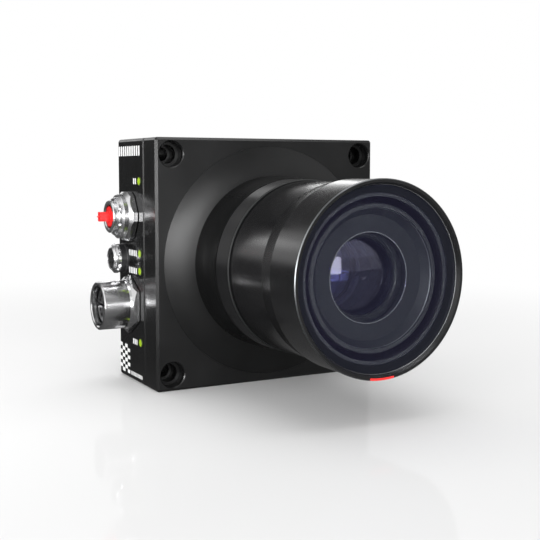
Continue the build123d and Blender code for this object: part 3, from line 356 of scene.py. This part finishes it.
FINISHES = {
    "front_block": housing("front_block_finish", (0.28, 0.36), (0.17, 0.22)),
    "rear_block": housing("rear_block_finish", (0.28, 0.36), (0.13, 0.18)),
    "tube_black": coated("tube_black_finish", (0.0060, 0.0060, 0.0064), (0.0095, 0.0095, 0.0100), grain=5.0,
                         rough=(0.17, 0.23), bump=0.012, depth=0.02, turned=LENS_AXIS, line_scale=5.0,
                         line_bump=0.04, slope=((26.8, 27.2), (-58.2, -49.0), 0.36), bands=(
                             # base ring's chamfer, lip behind the glass, painted highlights on the glass edge
                             # and the rim's edge, red mark
                             ((26.62, 27.03), (-58.6, -58.22), LINING, 0.65, 0.0),
                             ((22.4, 26.3), (-95.9, -95.3), LINING, 0.7, 0.0),
                             ((25.85, 26.0), (-98.3, -97.9), EDGE_HIGHLIGHT_PAINT, 0.25, 1.0),
                             ((27.36, 27.7), (-99.5, -98.98), DIM_EDGE_HIGHLIGHT_PAINT, 0.30, 1.0),
                             ((26.9, 27.8), (-99.6, -98.3), MARK_RED, 0.35, 0.0, (-3.9, 3.9, 0.0)))),
    "lens_black": coated("lens_black_finish", (0.0080, 0.0080, 0.0090), (0.0130, 0.0130, 0.0145), grain=6.0,
                         rough=(0.30, 0.42), bump=0.10, turned=LENS_AXIS, bands=(
                             # front of the barrel
                             ((19.45, 21.1), (-94.6, -94.15), LINING, 0.45, 0.0),)),
    "bezel_grey": lining("bezel_grey_finish", 1.25, grain=6.0, rough=(0.48, 0.58), bump=0.08,
                         turned=LENS_AXIS, bands=(
                             # painted highlights on the outer edge and on the edge of the opening
                             ((19.42, 19.62), (-94.2, -93.6), DIM_EDGE_HIGHLIGHT_PAINT, 0.30, 1.0),
                             ((12.5, 12.78), (-92.0, -91.5), EDGE_HIGHLIGHT_PAINT, 0.25, 1.0))),
    "black_rubber": coated("black_rubber_finish", (0.008, 0.008, 0.008), (0.014, 0.014, 0.014), grain=4.0,
                           rough=(0.55, 0.7), bump=0.3),
    "clear_glass": glass("window_glass_finish", (0.90, 0.92, 0.98), ior=1.50, smear=0.004,
                         shine=(0.50, 0.47, 1.0)),
    "coated_glass": glass("coated_glass_finish", LENS_TINT, ior=1.32, smear=0.10, shine=(0.70, 0.66, 1.0)),
    "chrome": chrome("chrome_finish", None),
    "steel": coated("steel_finish", (0.42, 0.42, 0.43), (0.56, 0.56, 0.57), grain=5.0, rough=(0.22, 0.34),
                    fixed=METAL),
    "gold": coated("gold_finish", (0.78, 0.52, 0.18), (0.86, 0.62, 0.26), grain=4.0, rough=(0.16, 0.26),
                   bump=0.05, fixed=METAL),
    "black_plastic": coated("black_plastic_finish", (0.010, 0.010, 0.011), (0.018, 0.018, 0.019), grain=6.0,
                            rough=(0.32, 0.45), bump=0.12),
    "red_plastic": coated("red_plastic_finish", (0.72, 0.010, 0.011), (0.80, 0.016, 0.016), grain=3.0,
                          rough=(0.26, 0.36), bump=0.05),
    "lime_plastic": coated("lime_plastic_finish", (0.33, 0.52, 0.012), (0.42, 0.62, 0.020), grain=2.0,
                           rough=(0.20, 0.30), bump=0.04),
    "board_green": coated("board_green_finish", (0.006, 0.050, 0.018), (0.010, 0.075, 0.028), grain=2.5,
                          patch=0.3, rough=(0.25, 0.4), bump=0.2),
    "chip_black": coated("chip_black_finish", (0.012, 0.012, 0.013), (0.022, 0.022, 0.024), grain=8.0,
                         rough=(0.45, 0.6), bump=0.2),
    "sensor_silicon": coated("sensor_silicon_finish", (0.05, 0.035, 0.06), (0.09, 0.06, 0.11), grain=4.0,
                             rough=(0.12, 0.2), bump=0.03, fixed={"Metallic": 0.5}),
    "pad_grey": coated("pad_grey_finish", (0.20, 0.22, 0.24), (0.28, 0.30, 0.33), grain=3.0,
                       rough=(0.6, 0.75), bump=0.3),
    "lamp_white": coated("lamp_white_finish", (0.62, 0.64, 0.60), (0.74, 0.76, 0.72), grain=3.0,
                         rough=(0.25, 0.4), bump=0.05),
}
FINISHES_BY_NODE = {}
for socket, gloss in SOCKET_GLOSS.items():
    turned_about = ("x", middle("top_socket" if socket == "top_nut" else socket))
    FINISHES_BY_NODE[socket] = chrome("chrome_" + socket, turned_about, gloss)
FINISHES_BY_NODE["low_shield"] = coated("shield_finish", (0.05, 0.05, 0.05), (0.09, 0.09, 0.09), grain=4.0,
                                        rough=(0.3, 0.4), fixed=METAL)
FINISHES_BY_NODE["window_gasket"] = lining("gasket_finish", 1.2, grain=5.0, rough=(0.5, 0.65), bump=0.2)
for ring, edge in (("front_retainer", (9.55, 9.85)), ("lens_cell", (9.15, 9.4))):
    # A painted highlight: a pale metal arc on the ring's inner edge, only toward +x and below z = 5 mm.
    painted_highlight_arc = (edge, (-90.0, -80.0), EDGE_HIGHLIGHT_PAINT, 0.25, 1.0, (5.5, 12.0, 5.0))
    FINISHES_BY_NODE[ring] = lining(ring + "_finish", 1.25, grain=6.0, rough=(0.42, 0.52), bump=0.08,
                                    turned=LENS_AXIS, bands=(painted_highlight_arc,))
FINISHES_BY_NODE["front_element"] = glass("front_element_finish", LENS_TINT, ior=1.55, smear=0.004,
                                          shine=(0.85, 0.80, 1.0))
for pipe in ("light_pipe_1", "light_pipe_2", "light_pipe_3", "light_pipe_4"):
    dark_rim = ((1.16, 1.6), (-9.0, 9.0), PIPE_RIM, 0.4, 0.0)
    FINISHES_BY_NODE[pipe] = coated(pipe + "_finish", (0.30, 0.47, 0.012), (0.40, 0.60, 0.020), grain=2.0,
                                    rough=(0.20, 0.30), bump=0.04, turned=("x", middle(pipe)),
                                    bands=(dark_rim,))

make_camera()
for name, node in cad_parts.items():
    for material_slot in node.material_slots:
        slot_name = material_slot.material.name.split(".")[0]
        material_slot.material = FINISHES_BY_NODE.get(name) or FINISHES[slot_name]


def rounded_bar(bm, back, front, low, high, face, corner):
    """A thin printed bar with rounded corners on the connector side. Sizes are in millimetres."""
    outline = []
    for at_y, at_z, start in ((front - corner, high - corner, 0), (back + corner, high - corner, 90),
                              (back + corner, low + corner, 180), (front - corner, low + corner, 270)):
        for i in range(CORNER_STEPS + 1):
            angle = math.radians(start + 90 * i / CORNER_STEPS)
            outline.append((at_y + corner * math.cos(angle), at_z + corner * math.sin(angle)))
    rings = [[bm.verts.new((x * MM, y * MM, z * MM)) for y, z in outline] for x in (face, face - PRINT_PROUD)]
    bm.faces.new(rings[1])
    for i in range(len(outline)):
        j = (i + 1) % len(outline)
        bm.faces.new((rings[0][i], rings[0][j], rings[1][j], rings[1][i]))


def make_prints():
    """Plain white bars and a plain checker where the real one has print. They say nothing."""
    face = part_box("rear_housing")[0].x / MM
    front_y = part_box("front_housing")[0].y / MM
    bm = bmesh.new()
    for start, end, low, high, wide, pitch in PRINT_ROWS:
        count = int(round((end - start - wide) / pitch)) + 1
        for i in range(count):
            near = front_y + start + i * pitch
            rounded_bar(bm, near, near + wide, low, high, face, min(PRINT_CORNER, wide / 3))
    bmesh.ops.recalc_face_normals(bm, faces=bm.faces)
    mesh = bpy.data.meshes.new("side_prints")
    bm.to_mesh(mesh)
    bm.free()
    prints = bpy.data.objects.new("side_prints", mesh)
    scene.collection.objects.link(prints)
    mesh.materials.append(coated("print_white_finish", (0.70, 0.70, 0.70), (0.84, 0.84, 0.84), grain=6.0,
                                 rough=(0.45, 0.6), bump=0.1))
    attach(prints, "camera")


def make_floor():
    """A pale plain disc that keeps the shadow and turns into the white backdrop with distance.

    Mirror rays see it in levels of its own: dark around the part, lighter at the right, ahead and far left.
    """
    mesh = bpy.data.meshes.new("floor")
    bm = bmesh.new()
    bmesh.ops.create_circle(bm, cap_ends=True, segments=96, radius=FLOOR_RADIUS)
    bm.to_mesh(mesh)
    bm.free()
    floor = bpy.data.objects.new("floor", mesh)
    floor.location.z = FLOOR_HEIGHT
    scene.collection.objects.link(floor)
    material, g = new_material("floor_paper")
    point = g.add("TexCoord").outputs["Object"]
    distance = g.vector_maths("LENGTH", point)
    x, y = g.add("SeparateXYZ", Vector=point).outputs[:2]
    spots = g.noise(point, 6.0, detail=2.0, roughness=0.5)
    tint = g.mix(spots, (FLOOR_TINT,) * 3, (FLOOR_TINT * FLOOR_SPOTS,) * 3)
    # Painted shade: the floor's tint is lowered toward the camera.
    tint = g.mix(g.ease(y, -0.05, -0.14), tint, (FLOOR_TINT * FLOOR_NEAR_PAINTED_SHADE,) * 3)
    matt = g.add("BsdfDiffuse", Color=tint)
    gloss = g.add("BsdfGlossy", Color=WHITE, Roughness=FLOOR_GLOSS_ROUGH)
    shader = g.blend(FLOOR_GLOSS, matt.outputs[0], gloss.outputs[0])

    path = g.add("LightPath").outputs
    seen = g.maths("MAXIMUM", path["Is Camera Ray"], path["Is Transmission Ray"])
    far = g.maths("MULTIPLY", g.ease(distance, 0.10, 0.30), g.ease(y, -0.18, -0.06, 0.05, 1.0))
    white = g.add("Emission", Color=WHITE, Strength=1.0)
    shader = g.blend(g.maths("MULTIPLY", far, seen), shader, white.outputs[0])

    front = g.ease(y, 0.03, -0.06)
    left = g.ease(x, 0.10, -0.06)
    beside = g.grey(g.span(left, 0.0, 1.0, FLOOR_RIGHT_LEVEL, MIRRORED_DARK))
    ahead = g.grey(g.ease(y, -0.06, -0.16, *FLOOR_AHEAD_LEVELS))
    far_left = g.maths("MULTIPLY", g.ease(x, -0.10, -0.20),
                       g.ease(y, -0.06, -0.14, 0.0, FLOOR_FAR_LEFT_LEVEL))
    level = g.maths("ADD", far_left, g.mix(front, beside, ahead))
    mirrored = g.add("Emission", Color=g.grey(level), Strength=1.0)
    close_material(g, g.blend(path["Is Glossy Ray"], shader, mirrored.outputs[0]))
    mesh.materials.append(material)


def make_world():
    """White where it is seen, a soft grey room where it lights the part, a dark studio in mirror rays."""
    world = bpy.data.worlds.new("studio")
    scene.world = world
    world.use_nodes = True
    world.node_tree.nodes.clear()
    g = Graph(world.node_tree)
    path = g.add("LightPath").outputs
    x, y, z = g.add("SeparateXYZ", Vector=g.add("TexCoord").outputs["Generated"]).outputs
    backdrop = g.maths("MULTIPLY", g.ease(y, 0.35, 0.75),
                       g.maths("MULTIPLY", g.ease(z, 0.04, 0.15), g.ease(z, 0.46, 0.36)))
    front = g.ease(y, 0.1, -0.4, MIRRORED_DARK, ROOM_FRONT_LEVEL)
    sides = g.maths("MAXIMUM", g.ease(x, -0.32, -0.62, 0.0, ROOM_LEFT_LEVEL),
                    g.ease(x, 0.45, 0.80, 0.0, ROOM_RIGHT_LEVEL))
    front_right = g.maths("MULTIPLY", g.ease(x, 0.32, 0.52, 0.0, ROOM_FRONT_RIGHT_LEVEL),
                          g.maths("MULTIPLY", g.ease(y, -0.45, -0.65), g.ease(z, 0.12, 0.26)))
    ceiling = g.ease(z, 0.50, 0.80, 0.0, ROOM_CEILING_LEVEL)
    around = g.maths("MULTIPLY_ADD", g.ease(y, 0.60, 0.30), sides, front)
    mirrored = g.maths("ADD", g.maths("MAXIMUM", front_right, ceiling), g.maths("ADD", backdrop, around))
    plain = g.maths("MAXIMUM", path["Is Camera Ray"], path["Is Transmission Ray"])
    level = g.mix(path["Is Glossy Ray"], (ROOM_LEVEL,) * 3, g.grey(mirrored))
    background = g.add("Background", Color=g.mix(plain, level, WHITE), Strength=1.0)
    output = g.add("OutputWorld")
    g.put(output.inputs["Surface"], background.outputs[0])


def make_softbox(name, place, width, height, watts):
    data = bpy.data.lights.new(name, "AREA")
    data.shape, data.size, data.size_y, data.energy = "RECTANGLE", width, height, watts
    lamp = bpy.data.objects.new(name, data)
    lamp.location = Vector(place)
    lamp.rotation_mode = "QUATERNION"
    lamp.rotation_quaternion = (Vector(AIM) - Vector(place)).to_track_quat("-Z", "Y")
    lamp.visible_camera = False
    scene.collection.objects.link(lamp)


make_prints()
make_floor()
make_world()
for softbox in SOFTBOXES:
    make_softbox(*softbox)

scene.view_settings.view_transform = "Standard"
